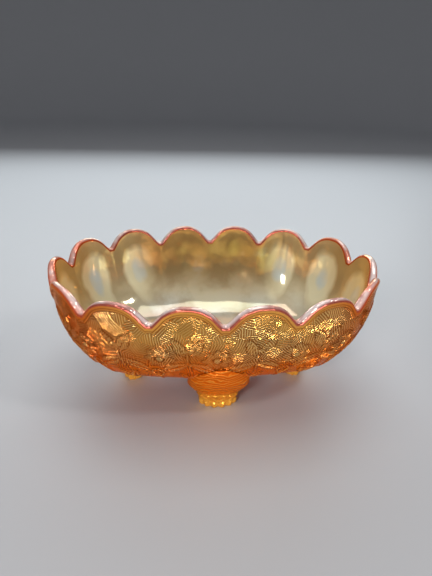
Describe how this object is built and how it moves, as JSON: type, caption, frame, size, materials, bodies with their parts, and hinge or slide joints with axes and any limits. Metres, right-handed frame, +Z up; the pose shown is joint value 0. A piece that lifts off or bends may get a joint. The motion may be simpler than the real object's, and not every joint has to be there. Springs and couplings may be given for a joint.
{
  "type": "footed oval bowl",
  "caption": "Long oval pressed-glass bowl with a deep scalloped rim, standing on fluted feet; holds fruit or flowers.",
  "frame": {"origin": "on the ground under the middle of the bowl", "axes": "+X along the bowl's length, +Y across its width to the back, +Z up"},
  "size_m": [0.291, 0.191, 0.1205],
  "materials": {
    "bowl_glass": "marigold iridescent pressed glass, glossy",
    "foot_glass": "marigold pressed glass, frosted pattern, deep orange"
  },
  "bodies": {
    "root": {"bowl": "bowl_glass", "foot_front": "foot_glass", "foot_back": "foot_glass", "foot_left": "foot_glass", "foot_right": "foot_glass"}
  },
  "joints": []
}
